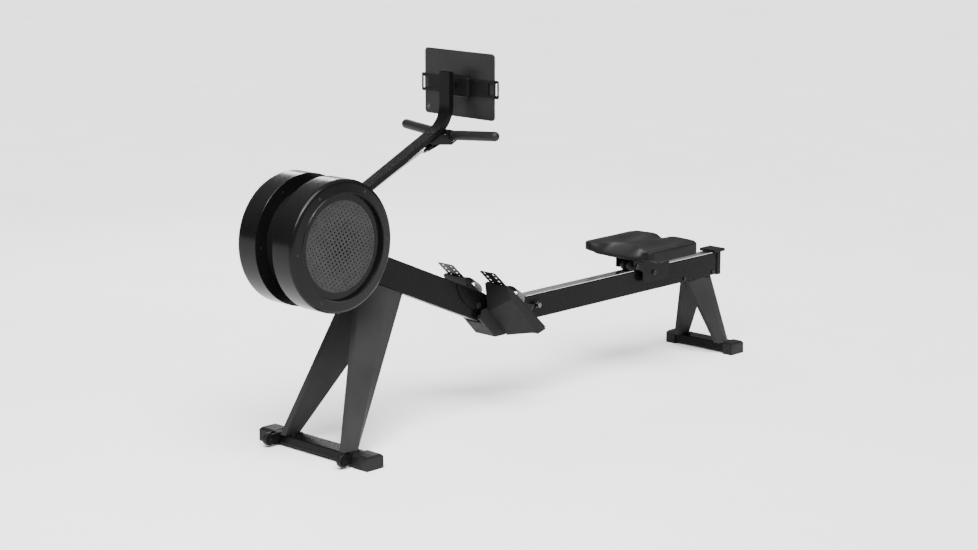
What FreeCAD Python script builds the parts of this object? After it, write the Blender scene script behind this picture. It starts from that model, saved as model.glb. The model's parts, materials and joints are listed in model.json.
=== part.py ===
import FreeCAD, Part
import math
import os
import Sketcher
from types import SimpleNamespace

# An air rowing machine, in millimetres: +X runs from the air drums to the seat's end, +Z is up and
# the left side, as the person rowing sits, is -Y. The origin is on the floor, midway along it.

SIZES = {
    # air drums and the axle through them
    "axle_x": -990.0,
    "axle_height": 752.0,
    "axle_radius": 10.0,
    "axle_half": 122.0,
    "drum_radius": 230.0,
    "drum_gap": 86.0,
    "drum_depth": 96.0,
    "drum_plate": 3.0,
    "drum_wall": 3.0,
    "rim_radius": 186.0,
    "rim_proud": 6.0,
    "recess_radius": 181.0,
    "shoulder": 16.0,
    "grille_radius": 160.5,
    "grille_window": 158.0,
    "grille_thick": 2.0,
    "grille_pitch": 14.4,
    "grille_angle": 26.6,
    "grille_hole": 4.3,
    "grille_hole_rim": 2.1,
    "drum_screw_circle": 204.0,
    "core_radius": 180.0,
    "fan_radius": 165.0,
    "fan_blades": 20.0,
    "clearance": 0.05,
    # front beam
    "beam_angle": 23.4,
    "beam_wide": 51.0,
    "beam_high": 105.0,
    "beam_drop": 14.4,
    "beam_start": 130.0,
    "beam_end": 865.0,
    "tube_wall": 3.0,
    "hub_plate": 5.0,
    # monitor arm
    "arm_angle": 25.43,
    "arm_wide": 50.0,
    "arm_thick": 20.0,
    "arm_rise": 27.0,
    "arm_start": 40.0,
    "arm_corner": 719.6,
    "arm_bend": 100.0,
    "arm_top": 179.4,
    # drive chain and handle
    "chain_angle": 23.75,
    "chain_pitch": 6.35,
    "sprocket_teeth": 17.0,
    "chain_high": 6.0,
    "chain_wide": 8.0,
    "chain_end": 574.0,
    "handle_reach": 699.0,
    "handle_rise": 15.0,
    "handle_half": 221.5,
    "handle_sweep": 17.5,
    "handle_lift": 16.0,
    "handle_tube": 11.0,
    "grip_radius": 17.5,
    # seat rail
    "rail_start": -115.0,
    "rail_end": 1180.0,
    "rail_top": 400.0,
    "rail_high": 95.0,
    "track_thick": 2.5,
    "track_wide": 47.0,
    "track_start": 36.0,
    # feet
    "foot_wide": 70.0,
    "foot_low": 10.0,
    "foot_high": 44.0,
    "cap_wide": 78.0,
    "cap_high": 50.0,
    "front_foot_x": -982.0,
    "front_foot_half": 278.0,
    "rear_foot_x": 1145.0,
    "rear_foot_half": 172.0,
    "wheel_x": -1052.0,
    "wheel_z": 30.0,
    "wheel_y": 190.5,
    "wheel_radius": 23.0,
    "wheel_wide": 19.0,
    # footboards
    "board_x": -207.0,
    "board_z": 498.5,
    "board_angle": 42.85,
    "board_long": 280.0,
    "board_thick": 6.0,
    "board_inner": 50.0,
    "board_outer": 165.0,
    "flexfoot_wide": 78.0,
    "flexfoot_middle": 107.0,
    # seat
    "seat_front": 580.0,
    "seat_rear": 880.0,
    "seat_half": 175.0,
    "seat_low": 456.0,
    "seat_high": 512.0,
    "roller_radius": 20.0,
    "front_roller_x": 650.0,
    "rear_roller_x": 800.0,
    # tablet and its clamp
    "tablet_x": -292.0,
    "tablet_thick": 8.0,
    "tablet_half": 172.0,
    "tablet_low": 1106.0,
    "tablet_high": 1343.0,
    "tablet_corner": 13.0,
    "clamp_z": 1218.0,
    "clamp_pin_x": -335.0,
}

Vector = FreeCAD.Vector
doc = FreeCAD.newDocument("rowing_machine")
subparts = []


class Size:
    """A number together with the spreadsheet formula that gives it."""

    def __init__(self, value, formula):
        self.value = value
        self.formula = formula

    def __add__(self, other):
        other = as_size(other)
        return Size(self.value + other.value, f"({self.formula} + {other.formula})")

    def __sub__(self, other):
        other = as_size(other)
        return Size(self.value - other.value, f"({self.formula} - {other.formula})")

    def __mul__(self, other):
        other = as_size(other)
        return Size(self.value * other.value, f"({self.formula} * {other.formula})")

    def __truediv__(self, other):
        other = as_size(other)
        return Size(self.value / other.value, f"({self.formula} / {other.formula})")

    def __neg__(self):
        return Size(-self.value, f"(-1 * {self.formula})")

    def __radd__(self, other):
        return as_size(other) + self

    def __rtruediv__(self, other):
        return as_size(other) / self

    def __rsub__(self, other):
        return as_size(other) - self

    def __rmul__(self, other):
        return as_size(other) * self


def as_size(number):
    return number if isinstance(number, Size) else Size(float(number), f"({float(number)})")


def sin_of(angle):
    return Size(math.sin(math.radians(angle.value)), f"sin({angle.formula} * 1deg)")


def cos_of(angle):
    return Size(math.cos(math.radians(angle.value)), f"cos({angle.formula} * 1deg)")


def make_sheet():
    sheet = doc.addObject("Spreadsheet::Sheet", "dim")
    for row, (alias, value) in enumerate(SIZES.items(), start=1):
        sheet.set(f"A{row}", alias)
        sheet.set(f"B{row}", str(value))
        sheet.setAlias(f"B{row}", alias)
    doc.recompute()
    return SimpleNamespace(**{a: Size(v, f"dim.{a}") for a, v in SIZES.items()})


d = make_sheet()
SPROCKET_RADIUS = d.chain_pitch / (2 * sin_of(180 / d.sprocket_teeth))


# ---- helpers -----------------------------------------------------------------------------------

def bind(obj, **sizes):
    """Bind properties, written with __ for a dot, to spreadsheet formulas."""
    for name, size in sizes.items():
        obj.setExpression(name.replace("__", "."), as_size(size).formula)


def place(obj, x=0, y=0, z=0, turns=()):
    """Turn an object by (axis, angle) pairs, the first one first, then move it to (x, y, z)."""
    rotation = FreeCAD.Rotation()
    for axis, angle in turns:
        rotation = FreeCAD.Rotation(Vector(*axis), as_size(angle).value) * rotation
    base = Vector(*(as_size(c).value for c in (x, y, z)))
    obj.Placement = FreeCAD.Placement(base, rotation)
    bind(obj, Placement__Base__x=x, Placement__Base__y=y, Placement__Base__z=z)


def keep(obj, label):
    """Make an object a sub-part, under the name of its file."""
    obj.Label = label
    subparts.append(obj)
    return obj


def new_body(name):
    return doc.addObject("PartDesign::Body", name)


def sketch(body, plane, offset=0):
    """A sketch on one of the body's own origin planes, moved along the plane's normal."""
    made = body.newObject("Sketcher::SketchObject", body.Name + "_sketch")
    made.AttachmentSupport = [(next(f for f in body.Origin.OriginFeatures if f.Role == plane), "")]
    made.MapMode = "FlatFace"
    bind(made, AttachmentOffset__Base__z=offset)
    return made


def pin_point(made, geometry, point, x, y):
    for kind, size in (("DistanceX", x), ("DistanceY", y)):
        size = as_size(size)
        index = made.addConstraint(Sketcher.Constraint(kind, -1, 1, geometry, point, size.value))
        made.setExpression(f"Constraints[{index}]", size.formula)


def outline(made, points):
    """A closed outline with a straight line between each two points."""
    flat = [Vector(as_size(x).value, as_size(y).value, 0) for x, y in points]
    first = made.GeometryCount
    count = len(points)
    for i in range(count):
        made.addGeometry(Part.LineSegment(flat[i], flat[(i + 1) % count]))
    for i in range(count):
        following = first + (i + 1) % count
        made.addConstraint(Sketcher.Constraint("Coincident", first + i, 2, following, 1))
    for i, (x, y) in enumerate(points):
        pin_point(made, first + i, 1, x, y)
    return made


def rectangle(made, x0, x1, y0, y1):
    return outline(made, [(x0, y0), (x1, y0), (x1, y1), (x0, y1)])


def circle(made, x, y, radius):
    centre = Vector(as_size(x).value, as_size(y).value, 0)
    index = made.addGeometry(Part.Circle(centre, Vector(0, 0, 1), as_size(radius).value))
    pin_point(made, index, 3, x, y)
    size = as_size(radius)
    held = made.addConstraint(Sketcher.Constraint("Radius", index, size.value))
    made.setExpression(f"Constraints[{held}]", size.formula)
    return made


def feature(body, kind, profile, length=None, both=False, back=False):
    made = body.newObject("PartDesign::" + kind, f"{body.Name}_{kind.lower()}")
    made.Profile = profile
    made.Reversed = back
    if both:
        made.SideType = "Symmetric"
    if length is not None:
        bind(made, Length=length)
    return made


def pad(body, profile, length, both=False, back=False):
    return feature(body, "Pad", profile, length, both, back)


def pocket(body, profile, length, both=False, back=False):
    """Cut a pocket and make sure that it removed something."""
    doc.recompute()
    before = body.Shape.Volume
    made = feature(body, "Pocket", profile, length, both, back)
    doc.recompute()
    if not body.Shape.Volume < before:
        raise RuntimeError(f"{body.Name}: {made.Name} cut nothing")
    return made


def revolve(body, profile):
    made = feature(body, "Revolution", profile)
    made.ReferenceAxis = (profile, ["V_Axis"])
    made.Angle = 360
    return made


def polar(body, original, profile, count):
    made = body.newObject("PartDesign::PolarPattern", body.Name + "_ring")
    made.Originals = [original]
    made.Axis = (profile, ["N_Axis"])
    made.Angle = 360
    bind(made, Occurrences=count)
    body.Tip = made
    return made


def loft(body, kind, sections):
    made = body.newObject("PartDesign::" + kind, f"{body.Name}_{kind.lower()}")
    made.Profile = sections[0]
    made.Sections = sections[1:]
    made.Ruled = True
    return made


def dress(body, kind, size, wanted):
    """Fillet or chamfer the edges of a body that pass a test."""
    doc.recompute()
    base = body.Tip
    names = [f"Edge{i}" for i, edge in enumerate(base.Shape.Edges, start=1) if wanted(edge)]
    if not names:
        raise RuntimeError(f"{body.Name}: no edge to {kind.lower()}")
    made = body.newObject("PartDesign::" + kind, f"{body.Name}_{kind.lower()}")
    made.Base = (base, names)
    bind(made, **{"Radius" if kind == "Fillet" else "Size": size})
    return made


def runs_along(axis, test=lambda point: True):
    """A test for straight edges along one axis whose middle passes a second test."""
    def wanted(edge):
        if not isinstance(edge.Curve, (Part.Line, Part.LineSegment)):
            return False
        middle = edge.valueAt((edge.FirstParameter + edge.LastParameter) / 2)
        tangent = edge.tangentAt(edge.FirstParameter)
        return abs(abs(tangent.dot(Vector(*axis))) - 1) < 1e-6 and test(middle)
    return wanted


def ring_at(radius, height):
    """A test for circular edges about the local Z axis."""
    def wanted(edge):
        return (
            isinstance(edge.Curve, Part.Circle)
            and abs(edge.Curve.Radius - radius.value) < 0.01
            and abs(edge.Curve.Center.z - as_size(height).value) < 0.01
        )
    return wanted


def mirrored(source, name):
    """The same piece on the right-hand side."""
    made = doc.addObject("Part::Mirroring", name)
    made.Source = source
    made.Normal = Vector(0, 1, 0)
    return made


def group(pieces, name):
    made = doc.addObject("Part::Compound", name)
    made.Links = pieces
    return made


def pair(source, name):
    """The left and right pieces of one kind, in one node."""
    return keep(group([source, mirrored(source, name + "_right")], name), name)


def both_sides(source, name):
    """A left sub-part and a right one."""
    keep(source, "left_" + name)
    keep(mirrored(source, "right_" + name), "right_" + name)


def box(name, x0, x1, y0, y1, z0, z1):
    made = doc.addObject("Part::Box", name)
    bind(made, Length=as_size(x1) - x0, Width=as_size(y1) - y0, Height=as_size(z1) - z0)
    place(made, x0, y0, z0)
    return made


def rod(name, radius, x, y, z, length, turns=(((1, 0, 0), 90),)):
    """A cylinder that starts at a point and runs towards -Y unless it is turned otherwise."""
    made = doc.addObject("Part::Cylinder", name)
    bind(made, Radius=radius, Height=length)
    place(made, x, y, z, turns)
    return made


def joined(kind, base, tools, name):
    made = base
    for index, tool in enumerate(tools):
        step = doc.addObject("Part::" + kind, f"{name}_{kind.lower()}{index}")
        step.Base = made
        step.Tool = tool
        made = step
    return made


def side_profile(name, inner, outer, points, holes=()):
    """A left-hand plate: an outline seen from the left, from |y| = inner to outer, with holes."""
    body = new_body(name)
    pad(body, outline(sketch(body, "XZ_Plane", inner), points), as_size(outer) - inner)
    for x, z, radius in holes:
        made = circle(sketch(body, "XZ_Plane", inner), x, z, radius)
        pocket(body, made, as_size(outer) - inner, back=True)
    return body


def across(body, points, width):
    """Pad an outline seen from the left, half its width to each side."""
    return pad(body, outline(sketch(body, "XZ_Plane"), points), width, both=True)


def tube(body, x0, x1, half, z0, z1, wall, corner):
    """A closed rectangular tube along X with rounded long edges."""
    pad(body, rectangle(sketch(body, "YZ_Plane", x0), -as_size(half), half, z0, z1),
        as_size(x1) - x0)
    dress(body, "Fillet", corner, runs_along((1, 0, 0)))
    inner = as_size(half) - wall
    hollow = rectangle(sketch(body, "YZ_Plane", x0), -inner, inner, z0 + wall, z1 - wall)
    pocket(body, hollow, as_size(x1) - x0, back=True)
    return body


# Frames that turn about the flywheel axle: along the beam, along the arm and along the chain.
ALONG_BEAM = (((0, 1, 0), d.beam_angle),)
ALONG_ARM = (((0, 1, 0), -d.arm_angle),)
ALONG_CHAIN = (((0, 1, 0), -d.chain_angle),)
ON_BOARD = (((0, 1, 0), d.board_angle),)
OUT_LEFT = (((1, 0, 0), 90),)


def at_axle(obj, turns):
    place(obj, d.axle_x, 0, d.axle_height, turns)
    return obj


# ---- front frame ---------------------------------------------------------------------------------

BEAM_LOW = -d.beam_drop - d.beam_high / 2
BEAM_TOP = d.beam_high / 2 - d.beam_drop
HUB_BOLTS = [(165, 15), (165, -56), (240, 15), (240, -56)]
BOLT_SHANK = 4.0
CORD_PIN = (840, -13, 8.0)


def through_holes(body, places, width):
    for x, z, radius in places:
        pocket(body, circle(sketch(body, "XZ_Plane"), x, z, radius), width, both=True)


def make_main_beam():
    body = new_body("beam")
    tube(body, d.beam_start, d.beam_end, d.beam_wide / 2, BEAM_LOW, BEAM_TOP, d.tube_wall, 5)
    holes = [(x, z, BOLT_SHANK) for x, z in HUB_BOLTS] + [CORD_PIN]
    through_holes(body, holes, d.beam_wide * 2)
    keep(at_axle(body, ALONG_BEAM), "main_beam")


def make_hub_plates():
    inner = d.beam_wide / 2
    outer = inner + d.hub_plate
    points = [(-38, 44), (-58, 10), (-58, -24), (-34, -50), (120, BEAM_LOW + 4), (262, BEAM_LOW + 4),
              (262, BEAM_TOP - 4), (120, BEAM_TOP - 2), (20, 52)]
    holes = [(0, 0, 26)] + [(x, z, BOLT_SHANK) for x, z in HUB_BOLTS]
    body = side_profile("hub_plate", inner, outer, points, holes)
    dress(body, "Fillet", 12, runs_along((0, 1, 0)))
    pair(at_axle(body, ALONG_BEAM), "hub_plates")


def make_bearing_housings():
    """Each housing spaces a drum off its hub plate, and its sleeve is the arm's pivot."""
    body = new_body("housing")
    outer = d.drum_gap / 2
    plate_face = d.beam_wide / 2 + d.hub_plate
    pad(body, circle(sketch(body, "XY_Plane", 17.5), 0, 0, 26), outer - 17.5)
    pad(body, circle(sketch(body, "XY_Plane", plate_face), 0, 0, 45), outer - plate_face)
    pocket(body, circle(sketch(body, "XY_Plane", 17.5), 0, 0, 21), outer - 17.5, back=True)
    pair(at_axle(body, OUT_LEFT), "bearing_housings")


def make_axle_bearings():
    body = new_body("bearing")
    ring = circle(sketch(body, "XY_Plane", 20), 0, 0, 21)
    circle(ring, 0, 0, d.axle_radius + d.clearance)
    pad(body, ring, 12)
    groove = circle(sketch(body, "XY_Plane", 31), 0, 0, 18)
    circle(groove, 0, 0, 13)
    pocket(body, groove, 1, back=True)
    pair(at_axle(body, OUT_LEFT), "axle_bearings")


def make_flywheel_axle():
    axle = rod("axle", d.axle_radius, d.axle_x, d.axle_half, d.axle_height, d.axle_half * 2)
    chamfer = doc.addObject("Part::Chamfer", "axle_ends")
    doc.recompute()
    chamfer.Base = axle
    rings = [i for i, e in enumerate(axle.Shape.Edges, 1) if isinstance(e.Curve, Part.Circle)]
    chamfer.Edges = [(i, 1.5, 1.5) for i in rings]
    keep(chamfer, "flywheel_axle")


def make_fans():
    """A bladed wheel for each drum, with a heavy outer ring that stores the speed."""
    body = new_body("fan")
    hub = circle(sketch(body, "XY_Plane", 50), 0, 0, 26)
    pad(body, hub, 42)
    pad(body, circle(sketch(body, "XY_Plane", 54), 0, 0, d.fan_radius), 3)
    blade = rectangle(sketch(body, "XY_Plane", 57), 60, d.fan_radius - 4, -1.5, 1.5)
    blade_pad = pad(body, blade, 50)
    polar(body, blade_pad, blade, d.fan_blades)
    ring = circle(sketch(body, "XY_Plane", 57), 0, 0, d.fan_radius)
    circle(ring, 0, 0, d.fan_radius - 4)
    pad(body, ring, 14)
    pocket(body, circle(sketch(body, "XY_Plane", 50), 0, 0, d.axle_radius), 42, back=True)
    both_sides(at_axle(body, OUT_LEFT), "fan")


def make_drive_sprocket():
    """A toothed disc on a one-way clutch hub, which turns freely on the axle."""
    body = new_body("sprocket")
    root = SPROCKET_RADIUS - 1.7
    disc = circle(sketch(body, "XY_Plane"), 0, 0, root)
    pad(body, disc, 3, both=True)
    half_tooth = d.chain_pitch * 0.26
    profile = outline(sketch(body, "XY_Plane"), [
        (root - 1, -half_tooth), (root + 1.2, -half_tooth), (SPROCKET_RADIUS + 2.4, -0.6),
        (SPROCKET_RADIUS + 2.4, 0.6), (root + 1.2, half_tooth), (root - 1, half_tooth)])
    tooth = pad(body, profile, 3, both=True)
    polar(body, tooth, profile, d.sprocket_teeth)
    pad(body, circle(sketch(body, "XY_Plane"), 0, 0, 13), 28, both=True)
    bore = circle(sketch(body, "XY_Plane"), 0, 0, d.axle_radius + d.clearance)
    pocket(body, bore, 28, both=True)
    keep(at_axle(body, OUT_LEFT), "drive_sprocket")


def make_core_shroud():
    """The dark drum between the two air drums, open at the rear for the arm, chain and beam."""
    turns = (((0, 0, 1), 50), ((1, 0, 0), 90))
    solids = []
    for name, radius in (("core_outer", d.core_radius), ("core_inner", d.core_radius - 3)):
        made = rod(name, radius, d.axle_x, d.drum_gap / 2, d.axle_height, d.drum_gap, turns)
        bind(made, Angle=250)
        solids.append(made)
    keep(joined("Cut", solids[0], solids[1:], "core"), "core_shroud")


def make_drum_shells():
    body = new_body("drum_shell")
    depth = d.drum_depth - d.drum_plate
    inner = d.drum_radius - d.drum_wall
    lip = depth + d.rim_proud
    face = outline(sketch(body, "XZ_Plane"), [
        (inner, 0), (d.drum_radius, 0), (d.drum_radius, depth - 1), (d.rim_radius + 2, lip - 2),
        (d.rim_radius, lip), (d.rim_radius - 3, lip), (d.recess_radius, lip - 5),
        (inner - 11, depth - 5), (inner, depth - 16)])
    revolve(body, face)
    recess = outline(sketch(body, "XZ_Plane"), [
        (d.recess_radius, lip - 5), (d.rim_radius - 3, lip - 5), (d.rim_radius - 3, depth - 11),
        (d.grille_window, depth - 11), (d.grille_window, depth - 9), (d.recess_radius, depth - 9)])
    revolve(body, recess)
    dress(body, "Fillet", d.shoulder, ring_at(d.drum_radius, depth - 1))
    for radius, start, deep in ((4.8, lip, d.rim_proud), (2.2, depth, 6)):
        hole = circle(sketch(body, "XY_Plane", start), d.drum_screw_circle, 0, radius)
        drilled = pocket(body, hole, deep)
        polar(body, drilled, hole, 6)
    place(body, d.axle_x, -(d.drum_gap / 2 + d.drum_plate), d.axle_height, OUT_LEFT)
    both_sides(body, "drum_shell")


def make_drum_plates():
    body = new_body("drum_plate")
    disc = circle(sketch(body, "XY_Plane", d.drum_gap / 2), 0, 0, d.drum_radius)
    circle(disc, 0, 0, 30)
    pad(body, disc, d.drum_plate)
    dress(body, "Chamfer", 1, ring_at(d.drum_radius, d.drum_gap / 2))
    pair(at_axle(body, OUT_LEFT), "drum_plates")


def grille_shape():
    """A disc with a turned square lattice of round holes that shrink toward the rim."""
    pitch = d.grille_pitch.value
    widest = d.grille_hole.value
    shrink = widest - d.grille_hole_rim.value
    limit = d.grille_window.value - widest - 3
    turn = FreeCAD.Rotation(Vector(0, 0, 1), d.grille_angle.value)
    count = int(limit / pitch) + 1
    wires = [Part.Wire(Part.makeCircle(d.grille_radius.value))]
    for column in range(-count, count + 1):
        for row in range(-count, count + 1):
            centre = turn.multVec(Vector(column * pitch, row * pitch, 0))
            if centre.Length <= limit:
                radius = widest - shrink * centre.Length / limit
                wires.append(Part.Wire(Part.makeCircle(radius, centre)))
    disc = Part.Face(wires, "Part::FaceMakerBullseye")
    return disc.extrude(Vector(0, 0, d.grille_thick.value))


def make_grilles():
    left = doc.addObject("Part::Feature", "grille")
    left.Shape = grille_shape()
    outer = d.drum_gap / 2 + d.drum_depth - 11 - d.grille_thick
    place(left, d.axle_x, -outer, d.axle_height, OUT_LEFT)
    both_sides(left, "grille")


def screw_shape(head, head_high, shank, length, socket):
    """A screw standing on its head's underside: the head is above z = 0 and the shank below."""
    solid = Part.makeCylinder(head, head_high)
    if length:
        solid = solid.fuse(Part.makeCylinder(shank, length, Vector(0, 0, -length)))
    ring = [Vector(socket, 0, 0)]
    for _ in range(6):
        ring.append(FreeCAD.Rotation(Vector(0, 0, 1), 60).multVec(ring[-1]))
    recess = Part.Face(Part.makePolygon(ring)).extrude(Vector(0, 0, head_high))
    recess.translate(Vector(0, 0, head_high * 0.4))
    return solid.cut(recess).removeSplitter()


def set_screw(shape, seat, direction):
    made = shape.copy()
    made.Placement = FreeCAD.Placement(seat, FreeCAD.Rotation(Vector(0, 0, 1), direction))
    return made


def keep_screws(placed, name):
    made = doc.addObject("Part::Feature", name)
    made.Shape = Part.makeCompound(placed)
    keep(made, name)


def make_drum_screws():
    outer = screw_shape(4.5, 2.2, 2.2, 5, 2.0)
    inner = screw_shape(4.5, 2.2, 2.2, 0, 2.0)
    face = (d.drum_gap / 2 + d.drum_depth).value
    gap = (d.drum_gap / 2).value
    placed = []
    for side in (-1, 1):
        for index in range(6):
            angle = math.radians(60 * index)
            radial = Vector(math.cos(angle), 0, math.sin(angle)) * d.drum_screw_circle.value
            seat = Vector(d.axle_x.value, 0, d.axle_height.value) + radial
            placed.append(set_screw(outer, seat + Vector(0, side * face, 0), Vector(0, side, 0)))
            placed.append(set_screw(inner, seat + Vector(0, side * gap, 0), Vector(0, -side, 0)))
    keep_screws(placed, "drum_screws")


def leg_section(body, inset, front, ridge, rear, inner, edge, crest, tail):
    """A leg's five-cornered section on the XY plane, drawn as the left-hand leg."""
    return outline(sketch(body, "XY_Plane"), [
        (front + inset, -as_size(inner) - inset), (front + inset, -as_size(edge) + inset),
        (as_size(ridge), -as_size(crest) + inset), (rear - inset, -as_size(tail) + inset),
        (rear - inset, -as_size(inner) - inset)])


def make_leg(name, low, high, head_x, head_z, slope):
    """A folded leg of steel sheet, from a level foot to the underside of its beam."""
    body = new_body(name)
    turn = FreeCAD.Rotation(Vector(0, 1, 0), slope)
    for kind, inset in (("AdditiveLoft", 0), ("SubtractiveLoft", 2.5)):
        foot = leg_section(body, inset, *low)
        bind(foot, AttachmentOffset__Base__z=d.foot_high)
        head = leg_section(body, inset, *high)
        head.AttachmentOffset = FreeCAD.Placement(Vector(head_x.value, 0, head_z.value), turn)
        bind(head, AttachmentOffset__Base__x=head_x, AttachmentOffset__Base__z=head_z)
        loft(body, kind, [foot, head])
    doc.recompute()
    return body


def make_front_legs():
    low = (-1020, -969, -950, 140, 166, 176, 160)
    high = (232, 375, 457, 1, 22, 32, 18)
    head_x = d.axle_x + BEAM_LOW * sin_of(d.beam_angle)
    head_z = d.axle_height + BEAM_LOW * cos_of(d.beam_angle)
    leg = make_leg("front_leg", low, high, head_x, head_z, d.beam_angle.value)
    both_sides(leg, "front_leg")


def make_rear_legs():
    low = (1090, 1130, 1160, 93, 115, 124, 110)
    high = (1004, 1086, 1157, 1, 18, 25, 14)
    leg = make_leg("rear_leg", low, high, as_size(0), d.rail_top - d.rail_high, 0)
    both_sides(leg, "rear_leg")


def make_foot(name, middle, half, cap_long):
    """A cross bar lying on the floor, with a cap over each end."""
    bar_half = half - 16
    bar = new_body(name + "_bar")
    side = d.foot_wide / 2
    pad(bar, rectangle(sketch(bar, "XZ_Plane"), middle - side, middle + side, d.foot_low, d.foot_high),
        bar_half * 2, both=True)
    dress(bar, "Fillet", 4, runs_along((0, 1, 0)))
    hollow = rectangle(sketch(bar, "XZ_Plane"), middle - side + 3, middle + side - 3,
                       d.foot_low + 3, d.foot_high - 3)
    pocket(bar, hollow, bar_half * 2, both=True)
    keep(bar, name + "_bar")
    cap = new_body(name + "_cap")
    reach = d.cap_wide / 2
    start = half - cap_long
    pad(cap, rectangle(sketch(cap, "XZ_Plane", start), middle - reach, middle + reach, 0, d.cap_high),
        cap_long)
    dress(cap, "Chamfer", 9, runs_along((0, 1, 0), lambda p: p.z > 40))
    dress(cap, "Chamfer", 7, lambda e: is_outer_top_edge(e, -half.value))
    socket = rectangle(sketch(cap, "XZ_Plane", start), middle - side, middle + side,
                       d.foot_low, d.foot_high)
    pocket(cap, socket, bar_half - start, back=True)
    dress(cap, "Fillet", 1.5, runs_along((0, 0, 1), lambda p: abs(p.y + half.value) < 1))
    pair(cap, name + "_caps")


def is_outer_top_edge(edge, y):
    box_ = edge.BoundBox
    return abs(box_.YMin - y) < 0.1 and abs(box_.YMax - y) < 0.1 and box_.ZMin > 40 and box_.XLength > 20


def make_wheel_brackets():
    body = new_body("wheel_bracket")
    z = d.wheel_z
    bar_front = d.front_foot_x - d.foot_wide / 2
    inner = d.wheel_y - 14
    pad(body, outline(sketch(body, "XZ_Plane", inner), [
        (d.wheel_x - 14, z - 8), (d.wheel_x - 9, z - 14), (bar_front, z - 16), (bar_front, d.foot_high),
        (bar_front + 34, d.foot_high), (bar_front + 34, d.foot_high + 4),
        (bar_front - 8, d.foot_high + 6), (d.wheel_x - 2, z + 18), (d.wheel_x - 14, z + 9)]), 28)
    slot = rectangle(sketch(body, "XZ_Plane", d.wheel_y - 10.5), d.wheel_x - 40, bar_front - 3, 0, 90)
    pocket(body, slot, 21, back=True)
    pocket(body, circle(sketch(body, "XZ_Plane", inner), d.wheel_x, z, BOLT_SHANK), 28, back=True)
    pair(body, "wheel_brackets")


def make_transport_wheels():
    body = new_body("transport_wheel")
    rim = circle(sketch(body, "XY_Plane", -d.wheel_wide / 2), 0, 0, d.wheel_radius)
    circle(rim, 0, 0, BOLT_SHANK + d.clearance)
    pad(body, rim, d.wheel_wide)
    dress(body, "Fillet", 3, lambda e: isinstance(e.Curve, Part.Circle)
          and abs(e.Curve.Radius - d.wheel_radius.value) < 0.01)
    place(body, d.wheel_x, -d.wheel_y, d.wheel_z, OUT_LEFT)
    both_sides(body, "transport_wheel")


def beam_point(along, rise):
    turn = FreeCAD.Rotation(Vector(0, 1, 0), d.beam_angle.value)
    return Vector(d.axle_x.value, 0, d.axle_height.value) + turn.multVec(Vector(along, 0, rise))


def through_bolt(at, half, head=7.0, shank=BOLT_SHANK):
    """A bolt across the machine: a head on the left, a nut on the right and a shank between."""
    right = Vector(at.x, half, at.z)
    bolt = set_screw(screw_shape(head, 4.5, shank, half * 2, head * 0.5),
                     Vector(at.x, -half, at.z), Vector(0, -1, 0))
    nut = set_screw(screw_shape(head, 4.5, shank, 0, head * 0.5), right, Vector(0, 1, 0))
    return bolt.fuse(nut).removeSplitter()


RAIL_BOLTS = [(975, 318), (1158, 318)]
CROSS_BOLT = (-150, 372)


def make_frame_bolts():
    plate_face = (d.beam_wide / 2 + d.hub_plate).value
    placed = [through_bolt(beam_point(x, z), plate_face) for x, z in HUB_BOLTS]
    pin_x, pin_z, pin_radius = CORD_PIN
    gusset_face = d.beam_wide.value / 2 + GUSSET
    placed.append(through_bolt(beam_point(pin_x, pin_z), gusset_face, 12, pin_radius))
    placed.append(through_bolt(Vector(CROSS_BOLT[0], 0, CROSS_BOLT[1]), gusset_face, 8, 6))
    placed += [through_bolt(Vector(x, 0, z), d.beam_wide.value / 2) for x, z in RAIL_BOLTS]
    for side in (-1, 1):
        wheel = Vector(d.wheel_x.value, side * (d.wheel_y.value + 14), d.wheel_z.value)
        placed.append(set_screw(screw_shape(6.5, 4, BOLT_SHANK, 28, 3), wheel, Vector(0, side, 0)))
        for x in (d.front_foot_x.value - 12, d.front_foot_x.value + 22):
            seat = Vector(x, side * 122, d.foot_high.value)
            placed.append(set_screw(screw_shape(7, 4.5, 4, 0, 3.5), seat, Vector(0, 0, 1)))
        seat = Vector(d.rear_foot_x.value - 8, side * 76, d.foot_high.value)
        placed.append(set_screw(screw_shape(7, 4.5, 4, 0, 3.5), seat, Vector(0, 0, 1)))
    keep_screws(placed, "frame_bolts")


# ---- monitor arm and tablet ------------------------------------------------------------------------

def make_arm_fork():
    """Two cheeks that turn on the bearing housings' sleeves, with a web under the arm."""
    body = new_body("fork")
    across(body, [(-24, -30), (0, -38), (24, -30), (60, -8), (150, 5), (150, d.arm_rise),
                  (-24, d.arm_rise), (-38, 0)], 49)
    gap = outline(sketch(body, "XZ_Plane"), [(-60, -60), (170, -60), (170, 22), (60, 22), (60, 60),
                                             (-60, 60)])
    pocket(body, gap, 39, both=True)
    pocket(body, circle(sketch(body, "XZ_Plane"), 0, 0, 26 + d.clearance), 60, both=True)
    keep(at_axle(body, ALONG_ARM), "arm_fork")


def arm_path(body):
    """Along the arm's slope, round the bend and straight up, on the arm's centre line."""
    turn = 90 - d.arm_angle.value
    level = (d.arm_rise + d.arm_thick / 2).value
    corner = Vector(d.arm_corner.value, level, 0)
    slope = Vector(1, 0, 0)
    rise = Vector(math.cos(math.radians(turn)), math.sin(math.radians(turn)), 0)
    reach = d.arm_bend.value * math.tan(math.radians(turn / 2))
    first = corner - slope * reach
    last = corner + rise * reach
    centre = first + Vector(0, d.arm_bend.value, 0)
    path = sketch(body, "XZ_Plane")
    path.addGeometry(Part.LineSegment(Vector(d.arm_start.value, level, 0), first))
    bend = Part.Circle(centre, Vector(0, 0, 1), d.arm_bend.value)
    path.addGeometry(Part.ArcOfCircle(bend, math.radians(-90), math.radians(turn - 90)))
    path.addGeometry(Part.LineSegment(last, corner + rise * d.arm_top.value))
    path.addConstraint(Sketcher.Constraint("Coincident", 0, 2, 1, 1))
    path.addConstraint(Sketcher.Constraint("Coincident", 1, 2, 2, 1))
    return path


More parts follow.
